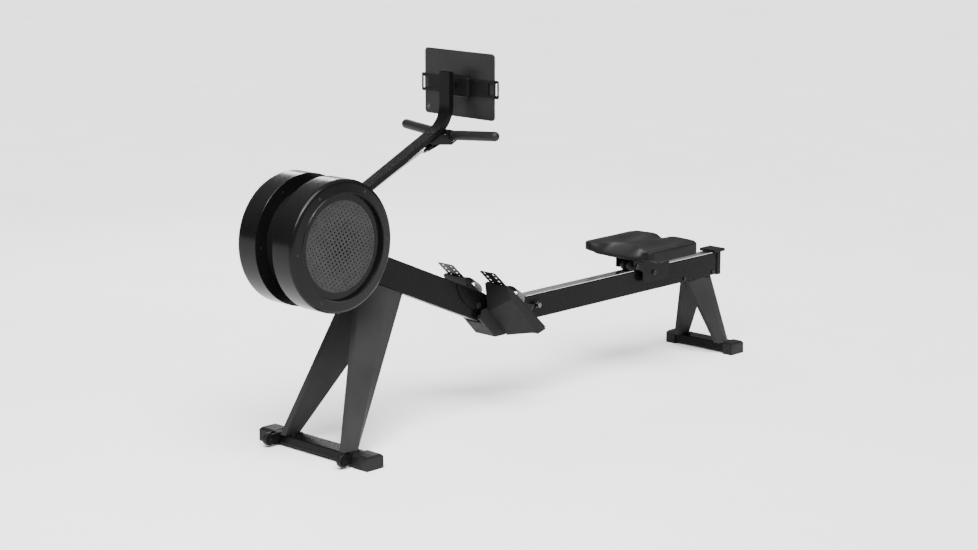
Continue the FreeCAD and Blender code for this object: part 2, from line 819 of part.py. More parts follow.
def sweep(body, kind, profile, path):
    made = body.newObject("PartDesign::" + kind, f"{body.Name}_{kind.lower()}")
    made.Profile = profile
    made.Spine = (path, [f"Edge{i + 1}" for i in range(path.GeometryCount)])
    made.Transition = "Round corner"
    return made


def make_monitor_arm():
    body = new_body("arm")
    path = arm_path(body)
    for kind, inset in (("AdditivePipe", 0), ("SubtractivePipe", 2.5)):
        half = d.arm_wide / 2 - inset
        section = rectangle(sketch(body, "YZ_Plane", d.arm_start), -half, half,
                            d.arm_rise + inset, d.arm_rise + d.arm_thick - inset)
        sweep(body, kind, section, path)
    doc.recompute()
    keep(at_axle(body, ALONG_ARM), "monitor_arm")


def make_handle_holder():
    """Two hooks under the arm that the grips' inner ends rest in."""
    body = new_body("holder")
    across(body, [(600, 27), (655, 27), (664, 22), (680.5, 14), (680.5, -10), (685, -19.5), (692, -25.3),
                  (714, -26.5), (714, -31), (680, -31), (640, -6), (600, 18)], 66)
    gap = rectangle(sketch(body, "XZ_Plane"), 560, 760, -60, 22)
    pocket(body, gap, 54, both=True)
    beside = outline(sketch(body, "XZ_Plane"), [(655.5, 20), (760, 20), (760, 60), (655.5, 60)])
    pocket(body, beside, 54, both=True)
    keep(at_axle(body, ALONG_ARM), "handle_holder")


def make_tilt_bracket():
    z = d.clamp_z
    pin = d.clamp_pin_x
    base = box("tilt_base", -346, -343, -20, 20, z - 20, z + 20)
    ears = []
    for name, y in (("tilt_left", -15), ("tilt_right", 9)):
        ears.append(box(name + "_arm", -343, pin, y, y + 6, z - 8, z + 8))
        ears.append(rod(name + "_eye", 8, pin, y + 6, z, 6))
    ears.append(rod("tilt_pin", 4, pin, 17, z, 34))
    keep(joined("Fuse", base, ears, "tilt"), "tilt_bracket")


def make_clamp_body():
    """The sprung body that pulls the two jaws together, on its tilting knuckle."""
    z = d.clamp_z
    body = new_body("clamp")
    pad(body, rectangle(sketch(body, "YZ_Plane", -318), -70, 70, z - 34, z + 34), 20)
    dress(body, "Fillet", 5, runs_along((1, 0, 0)))
    dress(body, "Chamfer", 2, lambda e: e.BoundBox.XMax < -317.9)
    knuckle = sketch(body, "XZ_Plane")
    rectangle(knuckle, d.clamp_pin_x, -317.9, z - 7, z + 7)
    pad(body, knuckle, 17, both=True)
    pad(body, circle(sketch(body, "XZ_Plane"), d.clamp_pin_x, z, 7.5), 17, both=True)
    bore = circle(sketch(body, "XZ_Plane"), d.clamp_pin_x, z, 4 + d.clearance)
    pocket(body, bore, 40, both=True)
    for side in (-1, 1):
        boss = rectangle(sketch(body, "YZ_Plane", -298), -66, 66, z - 5 + side * 6, z + 5 + side * 6)
        pad(body, boss, d.tablet_x + 298)
    keep(body, "clamp_body")


def make_jaws():
    """Each jaw is two rails, a plate between them and a finger loop with lips on the tablet's edge."""
    z = d.clamp_z
    outer = d.tablet_half
    loop_end = outer + 18
    body = new_body("jaw")
    plate = rectangle(sketch(body, "YZ_Plane", -296.7), -150, -76, z - 23, z + 23)
    pad(body, plate, 2)
    for side in (-1, 1):
        level = z + 25 * side
        rail = rectangle(sketch(body, "YZ_Plane", -297.7), -(outer + 6), -20, level - 4, level + 4)
        pad(body, rail, 5)
        level = z + 27 * side
        post = rectangle(sketch(body, "YZ_Plane", -297.7), -(outer + 6), -(outer + 0.5),
                         level - 5, level + 5)
        pad(body, post, 18)
        lip = rectangle(sketch(body, "YZ_Plane", -283.6), -(outer + 4), -(outer - 8),
                        level - 5, level + 5)
        pad(body, lip, 3.9)
    loop = rectangle(sketch(body, "YZ_Plane", -290), -loop_end, -(outer + 0.5), z - 32, z + 32)
    rectangle(loop, -(loop_end - 3.5), -(outer + 2.5), z - 26, z + 26)
    pad(body, loop, 6)
    dress(body, "Fillet", 3, runs_along((1, 0, 0), lambda p: p.y < -(loop_end.value - 1)))
    both_sides(body, "jaw")


def make_tablet():
    body = new_body("tablet_body")
    half = d.tablet_half
    pad(body, rectangle(sketch(body, "YZ_Plane", d.tablet_x), -half, half, d.tablet_low, d.tablet_high),
        d.tablet_thick)
    dress(body, "Fillet", d.tablet_corner, runs_along((1, 0, 0)))
    dress(body, "Fillet", 1.8, lambda e: e.BoundBox.XLength < 0.01)
    keep(body, "tablet")


# ---- chain, handle and return gear -----------------------------------------------------------------

TAKEUP_REST = 790
TAKEUP_RADIUS = 15
LOWER_STRAND = -SPROCKET_RADIUS.value
RETURN_STRAND = LOWER_STRAND - 2 * TAKEUP_RADIUS


def chain_path(body):
    """On the sprocket's top, round its front, down the beam, round the take-up and back."""
    radius = SPROCKET_RADIUS.value
    top = 90 + d.chain_angle.value + d.beam_angle.value
    bottom = 270
    start = FreeCAD.Rotation(Vector(0, 0, 1), top).multVec(Vector(radius, 0, 0))
    ahead = FreeCAD.Rotation(Vector(0, 0, 1), top - 90).multVec(Vector(24, 0, 0))
    low = Vector(0, LOWER_STRAND, 0)
    far = Vector(TAKEUP_REST, LOWER_STRAND, 0)
    turn = Vector(TAKEUP_REST, LOWER_STRAND - TAKEUP_RADIUS, 0)
    back = Vector(TAKEUP_REST, RETURN_STRAND, 0)
    path = sketch(body, "XZ_Plane")
    up = Vector(0, 0, 1)
    path.addGeometry(Part.LineSegment(start + ahead, start))
    path.addGeometry(Part.ArcOfCircle(Part.Circle(Vector(0, 0, 0), up, radius),
                                      math.radians(top), math.radians(bottom)))
    path.addGeometry(Part.LineSegment(low, far))
    path.addGeometry(Part.ArcOfCircle(Part.Circle(turn, up, TAKEUP_RADIUS),
                                      math.radians(-90), math.radians(90)))
    path.addGeometry(Part.LineSegment(back, Vector(160, RETURN_STRAND, 0)))
    return path


def make_return_chain():
    """The stretch of chain inside the machine, its link plates clear of the sprocket's teeth."""
    body = new_body("inner_chain")
    path = chain_path(body)
    wide = d.chain_wide / 2
    high = d.chain_high / 2
    section = rectangle(sketch(body, "YZ_Plane", 160), -wide, wide,
                        RETURN_STRAND - high, RETURN_STRAND + high)
    sweep(body, "AdditivePipe", section, path)
    teeth = circle(sketch(body, "XZ_Plane"), 0, 0, 25)
    pocket(body, teeth, 3.8, both=True)
    keep(at_axle(body, ALONG_BEAM), "return_chain")


def make_drive_chain():
    body = new_body("outer_chain")
    high = d.chain_high / 2
    pad(body, rectangle(sketch(body, "YZ_Plane", 24.3), -(d.chain_wide / 2), d.chain_wide / 2,
                        SPROCKET_RADIUS - high, SPROCKET_RADIUS + high), d.chain_end - 24.3)
    keep(at_axle(body, ALONG_CHAIN), "drive_chain")


def make_chain_shackle():
    """A bright swivel between the chain and the yoke."""
    body = new_body("shackle")
    rise = SPROCKET_RADIUS
    eye = circle(sketch(body, "YZ_Plane", d.chain_end), 0, rise, 5)
    pad(body, eye, 8)
    pad(body, circle(sketch(body, "YZ_Plane", d.chain_end + 8), 0, rise, 7.5), 6)
    pad(body, circle(sketch(body, "YZ_Plane", d.chain_end + 14), 0, rise, 4.5), 6)
    keep(at_axle(body, ALONG_CHAIN), "chain_shackle")


def eight_sided(made, height, half, rise, cut):
    """A rectangle about (0, height) with its corners cut off."""
    return outline(made, [
        (cut - half, height - rise), (half - cut, height - rise), (half, height - rise + cut),
        (half, height + rise - cut), (half - cut, height + rise), (cut - half, height + rise),
        (-half, height + rise - cut), (-half, height - rise + cut)])


def make_handle_yoke():
    """A tapering link from the shackle to the handle's ribbed middle."""
    body = new_body("yoke")
    rise = d.handle_rise
    near = eight_sided(sketch(body, "YZ_Plane", d.chain_end + 20), SPROCKET_RADIUS, 9, 8, 3)
    far = eight_sided(sketch(body, "YZ_Plane", d.handle_reach - 10), rise, 19, 13, 6)
    loft(body, "AdditiveLoft", [near, far])
    pocket(body, circle(sketch(body, "XZ_Plane"), d.handle_reach, rise, 21), 60, both=True)
    window = rectangle(sketch(body, "XZ_Plane"), d.chain_end + 42, d.chain_end + 72, rise - 4, rise + 4)
    pocket(body, window, 60, both=True)
    keep(at_axle(body, ALONG_CHAIN), "handle_yoke")


def handle_turns(side):
    """Turn a piece's own Z axis to run out along one half of the handle."""
    out = Vector(d.handle_sweep.value, side * d.handle_half.value, d.handle_lift.value)
    turn = FreeCAD.Rotation(Vector(0, 0, 1), out)
    return ((tuple(turn.Axis), math.degrees(turn.Angle)),)


def handle_centre():
    angle = d.chain_angle
    x = d.axle_x + d.handle_reach * cos_of(angle) - d.handle_rise * sin_of(angle)
    z = d.axle_height + d.handle_reach * sin_of(angle) + d.handle_rise * cos_of(angle)
    return x, z


def make_handle_bar():
    """A bent steel tube through a ribbed moulded middle."""
    x, z = handle_centre()
    body = new_body("handle_hub")
    rib = 5.0
    section = [(0, -25)]
    for index in range(5):
        base = -25 + index * 10
        section += [(21, base), (21, base + rib), (19.2, base + rib + 1), (19.2, base + 9)]
    section += [(21, 25), (0, 25)]
    profile = sketch(body, "XZ_Plane")
    outline(profile, section)
    revolve(body, profile)
    place(body, x, 0, z, OUT_LEFT)
    tubes = []
    for name, side in (("left_tube", -1), ("right_tube", 1)):
        tubes.append(rod(name, d.handle_tube, x, 0, z, 222, handle_turns(side)))
    keep(joined("Fuse", body, tubes, "handle_tubes"), "handle_bar")


def make_handle_grips():
    x, z = handle_centre()
    grips = []
    for name, side in (("left_grip", -1), ("right_grip", 1)):
        body = new_body(name)
        profile = outline(sketch(body, "XZ_Plane"), [
            (d.handle_tube, 30), (d.grip_radius, 30), (d.grip_radius, 239.5), (0, 239.5), (0, 222),
            (d.handle_tube, 222)])
        revolve(body, profile)
        dress(body, "Fillet", d.grip_radius - 1, ring_at(d.grip_radius, 239.5))
        dress(body, "Fillet", 2, ring_at(d.grip_radius, 30))
        place(body, x, 0, z, handle_turns(side))
        grips.append(body)
    keep(group(grips, "grips"), "handle_grips")


def make_takeup_block():
    """A frame that slides in the beam and carries the pulley that takes up the chain."""
    body = new_body("takeup")
    middle = LOWER_STRAND - TAKEUP_RADIUS
    across(body, [(TAKEUP_REST - 18, middle - 14), (TAKEUP_REST + 30, middle - 18),
                  (TAKEUP_REST + 30, middle + 11), (TAKEUP_REST - 18, middle + 11)], 24)
    gap = rectangle(sketch(body, "XZ_Plane"), TAKEUP_REST - 40, TAKEUP_REST + 24, middle - 40, middle + 40)
    pocket(body, gap, 17, both=True)
    pad(body, circle(sketch(body, "XZ_Plane"), TAKEUP_REST, middle, 4), 24, both=True)
    keep(at_axle(body, ALONG_BEAM), "takeup_block")


def make_takeup_pulley():
    body = new_body("pulley")
    inner = TAKEUP_RADIUS - d.chain_high.value / 2 - d.clearance.value
    profile = outline(sketch(body, "XZ_Plane"), [
        (4 + d.clearance, -7), (19, -7), (19, -4.6), (inner, -4.6), (inner, 4.6), (19, 4.6), (19, 7),
        (4 + d.clearance, 7)])
    revolve(body, profile)
    turn = ALONG_BEAM
    at = beam_point(TAKEUP_REST, LOWER_STRAND - TAKEUP_RADIUS)
    place(body, at.x, 0, at.z, OUT_LEFT + turn)
    keep(body, "takeup_pulley")


def make_return_cord():
    """A rubber cord from the take-up block, round a pin and back up the beam."""
    body = new_body("cord")
    pin_x, pin_z, _ = CORD_PIN
    low = pin_z - 12
    path = sketch(body, "XZ_Plane")
    path.addGeometry(Part.LineSegment(Vector(TAKEUP_REST + 30, low, 0), Vector(pin_x, low, 0)))
    path.addGeometry(Part.ArcOfCircle(Part.Circle(Vector(pin_x, pin_z, 0), Vector(0, 0, 1), 12),
                                      math.radians(-90), math.radians(90)))
    path.addGeometry(Part.LineSegment(Vector(pin_x, pin_z + 12, 0), Vector(290, pin_z + 12, 0)))
    sweep(body, "AdditivePipe", circle(sketch(body, "YZ_Plane", TAKEUP_REST + 30), 0, low, 3.5), path)
    keep(at_axle(body, ALONG_BEAM), "return_cord")


# ---- seat rail, joint and footboards -----------------------------------------------------------------

GUSSET = 4.0
LOCK_PIN = (80, 361)


def make_seat_rail():
    body = new_body("rail")
    tube(body, d.rail_start, d.rail_end, d.beam_wide / 2, d.rail_top - d.rail_high,
         d.rail_top - d.track_thick, d.tube_wall, 4)
    holes = [(x, z, BOLT_SHANK) for x, z in RAIL_BOLTS] + [(*LOCK_PIN, 5 + d.clearance)]
    through_holes(body, holes, d.beam_wide * 2)
    keep(body, "seat_rail")


def make_rail_track():
    body = new_body("track")
    half = d.track_wide / 2
    pad(body, rectangle(sketch(body, "YZ_Plane", d.track_start), -half, half,
                        d.rail_top - d.track_thick, d.rail_top), d.rail_end - d.track_start)
    dress(body, "Fillet", 1, runs_along((1, 0, 0), lambda p: p.z > d.rail_top.value - 0.1))
    keep(body, "rail_track")


def make_rail_end_cap():
    body = new_body("end_cap")
    end = d.rail_end
    top = d.rail_top
    pad(body, rectangle(sketch(body, "YZ_Plane", end), -30, 30, top - d.rail_high - 1, top), 26)
    pad(body, rectangle(sketch(body, "YZ_Plane", end - 30), -40, 40, top, top + 11), 70)
    dress(body, "Fillet", 4, runs_along((0, 0, 1)))
    dress(body, "Fillet", 1.5, lambda e: e.BoundBox.ZMin > top.value + 10.9)
    keep(body, "rail_end_cap")


def make_joint_plates():
    """Gusset plates that tie the beam's end to the rail's start, the left one with the pin's boss."""
    inner = d.beam_wide / 2
    points = [(-336, 503), (-181, 440), (-80, 400), (30, 392), (60, 378), (108, 376), (108, 346), (60, 344),
              (30, 312), (-110, 308), (-130, 325), (-165, 350), (-195, 367), (-225, 382), (-241, 390.5),
              (-267, 406), (-293, 427), (-314, 453), (-327, 477)]
    pin = beam_point(CORD_PIN[0], CORD_PIN[1])
    holes = [(pin.x, pin.z, CORD_PIN[2]), (*CROSS_BOLT, 6), (*LOCK_PIN, 5 + d.clearance)]
    left = side_profile("gusset", inner, inner + GUSSET, points, holes)
    right = mirrored(left, "gusset_right")
    ring = new_body("pin_boss")
    boss = circle(sketch(ring, "XZ_Plane", inner + GUSSET), *LOCK_PIN, 10)
    circle(boss, *LOCK_PIN, 5 + d.clearance)
    pad(ring, boss, 7)
    keep(group([joined("Fuse", left, [ring], "boss"), right], "gussets"), "joint_plates")


def make_lock_pin():
    x, z = LOCK_PIN
    inner = d.beam_wide / 2
    pin = rod("pin_shank", 5, x, -(inner - 8), z, GUSSET + 22)
    knob = rod("pin_knob", 11, x, -(inner + GUSSET + 7.5), z, 7)
    grip = rod("pin_grip", 9, x, -(inner + GUSSET + 14.5), z, 12)
    keep(joined("Fuse", pin, [knob, grip], "pin"), "lock_pin")


def make_joint_cover():
    """A moulded trough under the joint, between the two footboards."""
    body = new_body("trough")
    across(body, [(-236, 362), (-156, 280), (-108, 280), (-40, 300), (34, 300), (34, 345), (-60, 392),
                  (-120, 412), (-226, 392)], d.board_inner * 2)
    hollow = outline(sketch(body, "XZ_Plane"), [
        (-232, 363), (-154.8, 283), (-108, 283), (-40, 303), (40, 303), (40, 500), (-229, 500)])
    pocket(body, hollow, d.board_inner * 2 - 6, both=True)
    notch = rectangle(sketch(body, "XZ_Plane"), -260, -212, 300, 500)
    pocket(body, notch, d.board_inner * 2 - 28, both=True)
    keep(body, "joint_cover")


def board_section(body, inset, level, knee, sole, heel, side):
    """A footboard casing's section: the board's line above, a knee and a sole below."""
    drop = d.board_thick + inset
    sine = sin_of(d.board_angle)
    cosine = cos_of(d.board_angle)
    top = (d.board_x - drop * sine + inset, d.board_z - drop * cosine - inset + level)
    long = d.board_long - inset
    tip = (d.board_x + long * cosine - drop * sine, d.board_z - long * sine - drop * cosine + level)
    return outline(sketch(body, "XZ_Plane", side), [
        top, tip, (heel[0] - inset, heel[1] + inset), (sole[0] - inset / 2, sole[1] + inset),
        (knee[0] + inset, knee[1] + inset / 3)])


def make_foot_shells():
    """Casings under the footboards, deep beside the rail and shallow at the outer edge."""
    inner = dict(knee=(-194, 381.5), sole=(-93, 276), heel=(-30, 284))
    outer = dict(knee=(-191.5, 446.7), sole=(-55, 298), heel=(-48, 291.5))
    body = new_body("foot_shell")
    sides = (d.board_inner, d.board_outer)
    loft(body, "AdditiveLoft", [board_section(body, 0, 0, side=sides[0], **inner),
                                board_section(body, 0, 0, side=sides[1], **outer)])
    sides = (d.board_inner + 3, d.board_outer - 3)
    hollow = [board_section(body, 3, 4.4, side=sides[0], **inner),
              board_section(body, 3, 4.4, side=sides[1], **outer)]
    doc.recompute()
    before = body.Shape.Volume
    loft(body, "SubtractiveLoft", hollow)
    doc.recompute()
    if not body.Shape.Volume < before:
        raise RuntimeError("foot_shell: the hollow cut nothing")
    pair(body, "foot_shells")


def on_board(body):
    place(body, d.board_x, 0, d.board_z, ON_BOARD)
    return body


def make_footboards():
    body = new_body("footboard")
    left_edge = -d.board_outer
    pad(body, rectangle(sketch(body, "XY_Plane", -d.board_thick), 0, d.board_long, left_edge,
                        -d.board_inner), d.board_thick)
    dress(body, "Fillet", 12, runs_along((0, 0, 1)))
    for y in (-d.board_inner - 9, -d.board_outer + 3):
        slot = rectangle(sketch(body, "XY_Plane", -d.board_thick), 66, 124, y, y + 5)
        pocket(body, slot, d.board_thick, back=True)
    pair(on_board(body), "footboards")


def make_flexfeet():
    """A perforated plate that slides on each footboard and ends in a heel cup."""
    body = new_body("flexfoot")
    near = -(d.flexfoot_middle - d.flexfoot_wide / 2)
    far = -(d.flexfoot_middle + d.flexfoot_wide / 2)
    lift = 0.3
    pad(body, rectangle(sketch(body, "XY_Plane", lift), -71, 200, far, near), 2.6)
    dress(body, "Fillet", 6, runs_along((0, 0, 1), lambda p: p.x < -70))
    for row in range(7):
        holes = circle(sketch(body, "XY_Plane", lift), -58 + 21 * row, -d.flexfoot_middle - 21, 6.2)
        circle(holes, -58 + 21 * row, -d.flexfoot_middle + 21, 6.2)
        pocket(body, holes, 2.6, back=True)
    cup = outline(sketch(body, "XY_Plane", lift), [
        (140, near), (188, near - 4), (208, near - 22), (208, far + 22), (188, far + 4), (140, far),
        (140, far + 4), (185, far + 8), (203, far + 24), (203, near - 24), (185, near - 8),
        (140, near - 4)])
    pad(body, cup, 42)
    lowered = outline(sketch(body, "XZ_Plane"), [(130, 6), (200, 43), (130, 43)])
    pocket(body, lowered, 400, both=True)
    both_sides(on_board(body), "flexfoot")


def strap_section(body, along, high):
    """A strap's arch across the board: two arcs that start and end on the board."""
    half = 49.0
    thick = 2.5
    middle = -(d.board_inner + d.board_outer).value / 2
    path = sketch(body, "YZ_Plane", along)
    for grow in (0, thick):
        chord = half + grow
        rise = high + grow
        radius = (chord * chord + rise * rise) / (2 * rise)
        level = rise - radius
        angle = math.atan2(-level, chord)
        arc = Part.Circle(Vector(middle, level, 0), Vector(0, 0, 1), radius)
        path.addGeometry(Part.ArcOfCircle(arc, angle, math.pi - angle))
    for side in (1, -1):
        path.addGeometry(Part.LineSegment(Vector(middle + side * half, 0, 0),
                                          Vector(middle + side * (half + thick), 0, 0)))
    return path


def make_foot_straps():
    """A webbing loop over each footboard, which opens wider toward the heel."""
    body = new_body("strap")
    loft(body, "AdditiveLoft", [strap_section(body, 70, 34.5), strap_section(body, 120, 42)])
    pair(on_board(body), "foot_straps")


# ---- seat --------------------------------------------------------------------------------------------

def make_seat_pad():
    body = new_body("pad")
    half = d.seat_half
    pad(body, rectangle(sketch(body, "XY_Plane", d.seat_low), d.seat_front, d.seat_rear, -half, half),
        d.seat_high - d.seat_low)
    dress(body, "Fillet", 30, runs_along((0, 0, 1)))
    notch = circle(sketch(body, "XY_Plane", d.seat_low), d.seat_rear + 14, 0, 34)
    pocket(body, notch, 80, back=True)
    dress(body, "Fillet", 10, lambda e: e.BoundBox.ZMin > d.seat_high.value - 0.1)
    keep(body, "seat_pad")


def make_seat_base():
    """The seat's plate, with a skirt down each side of the rail that holds the rollers' axles."""
    body = new_body("seat_plate")
    top = d.seat_low
    low = top - 8
    pad(body, rectangle(sketch(body, "XY_Plane", low), 625, 865, -95, 95), 8)
    dress(body, "Fillet", 15, runs_along((0, 0, 1)))
    skirt = [(634, low), (634, 410), (672, 402), (688, 392), (690, 364), (697, 352), (710, 346),
             (850, 346), (850, low)]
    for start in (43, -47):
        pad(body, outline(sketch(body, "XZ_Plane", start), skirt), 4)
    height = d.rail_top + d.roller_radius + 0.1
    holes = [(d.front_roller_x, height, 5), (d.rear_roller_x, height, 5), (757, 381, 5)]
    through_holes(body, holes, 200)
    keep(body, "seat_base")


def make_roller_axles():
    height = (d.rail_top + d.roller_radius + 0.1).value
    stations = (d.front_roller_x.value, d.rear_roller_x.value)
    placed = [through_bolt(Vector(x, 0, height), 47, 8, 5) for x in stations]
    guide = screw_shape(9, 5, 5, 19, 4.5)
    for side in (-1, 1):
        placed.append(set_screw(guide, Vector(757, side * 47, 381), Vector(0, side, 0)))
    keep_screws(placed, "roller_axles")


def make_rollers():
    height = d.rail_top + d.roller_radius + 0.1
    for name, x in (("front_rollers", d.front_roller_x), ("rear_rollers", d.rear_roller_x)):
        body = new_body(name + "_left")
        ring = circle(sketch(body, "XY_Plane"), 0, 0, d.roller_radius)
        circle(ring, 0, 0, 5 + d.clearance)
        pad(body, ring, 13)
        dress(body, "Fillet", 2, lambda e: isinstance(e.Curve, Part.Circle) and e.Curve.Radius > 19)
        place(body, x, -8, height, OUT_LEFT)
        pair(body, name)


# ---- build, check and write ---------------------------------------------------------------------------

def build_all():
    make_main_beam()
    make_hub_plates()
    make_bearing_housings()
    make_axle_bearings()
    make_flywheel_axle()
    make_fans()
    make_drive_sprocket()
    make_core_shroud()
    make_drum_shells()
    make_drum_plates()
    make_grilles()
    make_drum_screws()
    make_front_legs()
    make_rear_legs()
    make_foot("front_foot", d.front_foot_x, d.front_foot_half, 73)
    make_foot("rear_foot", d.rear_foot_x, d.rear_foot_half, 46)
    make_wheel_brackets()
    make_transport_wheels()
    make_frame_bolts()
    make_arm_fork()
    make_monitor_arm()
    make_handle_holder()
    make_tilt_bracket()
    make_clamp_body()
    make_jaws()
    make_tablet()
    make_return_chain()
    make_drive_chain()
    make_chain_shackle()
    make_handle_yoke()
    make_handle_bar()
    make_handle_grips()
    make_takeup_block()
    make_takeup_pulley()
    make_return_cord()
    make_seat_rail()
    make_rail_track()
    make_rail_end_cap()
    make_joint_plates()
    make_lock_pin()
    make_joint_cover()
    make_foot_shells()
    make_footboards()
    make_flexfeet()
    make_foot_straps()
    make_seat_pad()
    make_seat_base()
    make_roller_axles()
    make_rollers()


def check_all():
    doc.recompute()
    for obj in doc.Objects:
        if "Invalid" in obj.State or "Error" in obj.State:
            raise RuntimeError(f"{obj.Name} ({obj.TypeId}) failed: {obj.State}")
    for part in subparts:
        if part.Shape.isNull() or not part.Shape.isValid() or not part.Shape.Solids:
            raise RuntimeError(f"{part.Label} has no valid solid")


def write_all():
    os.makedirs("parts", exist_ok=True)
    for part in subparts:
        part.Shape.exportStep(f"parts/{part.Label}.step")
    print(len(subparts), "sub-parts written")


build_all()
check_all()
write_all()
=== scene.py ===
"""Looks for an air rowing machine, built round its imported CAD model."""
import json
import math

import bmesh
import bpy
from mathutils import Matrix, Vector


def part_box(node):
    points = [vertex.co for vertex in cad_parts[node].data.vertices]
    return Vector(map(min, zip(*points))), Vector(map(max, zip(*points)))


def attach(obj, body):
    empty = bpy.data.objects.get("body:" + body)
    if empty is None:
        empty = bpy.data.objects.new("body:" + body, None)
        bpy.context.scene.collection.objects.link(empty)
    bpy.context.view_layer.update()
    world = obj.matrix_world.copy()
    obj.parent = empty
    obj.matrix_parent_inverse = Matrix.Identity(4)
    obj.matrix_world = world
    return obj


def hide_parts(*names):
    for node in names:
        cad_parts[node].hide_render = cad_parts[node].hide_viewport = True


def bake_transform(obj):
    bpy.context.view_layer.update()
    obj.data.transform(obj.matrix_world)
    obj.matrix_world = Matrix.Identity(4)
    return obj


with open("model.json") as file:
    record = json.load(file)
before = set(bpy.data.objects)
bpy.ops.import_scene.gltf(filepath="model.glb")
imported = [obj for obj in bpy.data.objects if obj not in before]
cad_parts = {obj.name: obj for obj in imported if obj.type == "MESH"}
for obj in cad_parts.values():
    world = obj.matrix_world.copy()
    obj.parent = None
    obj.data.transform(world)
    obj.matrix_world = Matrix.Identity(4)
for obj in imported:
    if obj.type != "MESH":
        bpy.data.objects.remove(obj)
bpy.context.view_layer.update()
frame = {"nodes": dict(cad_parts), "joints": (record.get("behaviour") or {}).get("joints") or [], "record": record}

MM = 0.001


# ---- materials ---------------------------------------------------------------------------------------

class Finish:
    """A node material that is built up from its surface coordinates outwards."""

    def __init__(self, name, stretch=(1, 1, 1), uv=False):
        self.material = bpy.data.materials.new(name)
        self.material.use_nodes = True
        self.tree = self.material.node_tree
        self.shader = self.tree.nodes["Principled BSDF"]
        place = self.add("ShaderNodeTexCoord")
        self.map = self.add("ShaderNodeMapping")
        self.map.inputs["Scale"].default_value = stretch
        self.link(place.outputs["UV" if uv else "Object"], self.map.inputs["Vector"])
        self.bump = None

    def add(self, kind):
        return self.tree.nodes.new(kind)

    def link(self, start, end):
        self.tree.links.new(start, end)

    def fixed(self, **values):
        for name, value in values.items():
            self.shader.inputs[name.replace("_", " ")].default_value = value
        return self

    def noise(self, scale, detail=4.0):
        node = self.add("ShaderNodeTexNoise")
        node.inputs["Scale"].default_value = scale
        node.inputs["Detail"].default_value = detail
        node.inputs["Roughness"].default_value = 0.55
        self.link(self.map.outputs["Vector"], node.inputs["Vector"])
        return node.outputs["Fac"]

    def cells(self, scale):
        node = self.add("ShaderNodeTexVoronoi")
        node.inputs["Scale"].default_value = scale
        self.link(self.map.outputs["Vector"], node.inputs["Vector"])
        return node.outputs["Distance"]

    def wave(self, scale, direction, distortion=0.0):
        node = self.add("ShaderNodeTexWave")
        node.bands_direction = direction
        node.inputs["Scale"].default_value = scale
        node.inputs["Distortion"].default_value = distortion
        self.link(self.map.outputs["Vector"], node.inputs["Vector"])
        return node.outputs["Fac"]

    def spread(self, source, low, high, from_low=0.3, from_high=0.7):
        node = self.add("ShaderNodeMapRange")
        node.inputs["From Min"].default_value = from_low
        node.inputs["From Max"].default_value = from_high
        node.inputs["To Min"].default_value = low
        node.inputs["To Max"].default_value = high
        self.link(source, node.inputs["Value"])
        return node.outputs["Result"]

    def mix(self, factor, first, second):
        node = self.add("ShaderNodeMix")
        node.data_type = "RGBA"
        self.link(factor, node.inputs["Factor"])
        for socket, value in ((node.inputs[6], first), (node.inputs[7], second)):
            if isinstance(value, tuple):
                socket.default_value = (*value, 1)
            else:
                self.link(value, socket)
        return node.outputs[2]

    def combine(self, how, first, second):
        node = self.add("ShaderNodeMath")
        node.operation = how
        for socket, value in zip(node.inputs, (first, second)):
            if isinstance(value, float):
                socket.default_value = value
            else:
                self.link(value, socket)
        return node.outputs[0]

    def colour(self, dark, light, blotch=7.0, edge=None, edge_from=0.53):
        """Two close tones in soft patches, with a worn tone along outside edges."""
        tone = self.mix(self.spread(self.noise(blotch), 0, 1), dark, light)
        if edge:
            shape = self.add("ShaderNodeNewGeometry")
            rub = self.spread(shape.outputs["Pointiness"], 0, 1, edge_from, edge_from + 0.07)
            broken = self.combine("MULTIPLY", rub, self.spread(self.noise(60), 0.1, 0.9))
            tone = self.mix(broken, tone, edge)
        self.link(tone, self.shader.inputs["Base Color"])
        return self

    def rough(self, low, high, scale=35.0):
        self.link(self.spread(self.noise(scale), low, high), self.shader.inputs["Roughness"])
        return self

    def relief(self, height, depth, strength=0.5):
        node = self.add("ShaderNodeBump")
        node.inputs["Distance"].default_value = depth
        node.inputs["Strength"].default_value = strength
        self.link(height, node.inputs["Height"])
        if self.bump:
            self.link(self.bump, node.inputs["Normal"])
        self.bump = node.outputs["Normal"]
        self.link(self.bump, self.shader.inputs["Normal"])
        return self


def grey(value, tint=0.0):
    return (value, value, value * (1 + tint))


def powder_coat(name, level, rough, shine=0.12):
    made = Finish(name)
    made.colour(grey(level * 0.85), grey(level * 1.15), 5)
    made.rough(rough - 0.05, rough + 0.06)
    made.relief(made.noise(1500, 2), 0.00003, 0.05)
    made.fixed(Specular_IOR_Level=shine)
    return made.material


def moulded(name, level, rough, grain=0.2, cell=2600, shine=0.15):
    made = Finish(name)
    made.colour(grey(level * 0.85), grey(level * 1.2), 9, edge=grey(level * 1.7))
    made.rough(rough - 0.06, rough + 0.06)
    made.relief(made.cells(cell), 0.0002, grain)
    made.fixed(Specular_IOR_Level=shine)
    return made.material


def gloss_black(name):
    made = Finish(name)
    made.colour(grey(0.0022), grey(0.0034), 4)
    made.rough(0.17, 0.23, 18)
    made.relief(made.noise(9, 1), 0.0004, 0.02)
    made.relief(made.noise(1800, 1), 0.00003, 0.04)
    made.fixed(Specular_IOR_Level=0.11)
    return made.material


def steel(name, tone, rough, stretch=(1, 1, 1)):
    """Metal; a stretch that is small along one axis draws its grain out that way."""
    made = Finish(name, stretch)
    made.colour(grey(tone * 0.82), grey(tone * 1.08), 8, edge=grey(min(1, tone * 1.3)))
    made.rough(rough - 0.07, rough + 0.08, 60)
    made.relief(made.noise(360, 3), 0.0001, 0.18)
    made.fixed(Metallic=1.0)
    return made.material


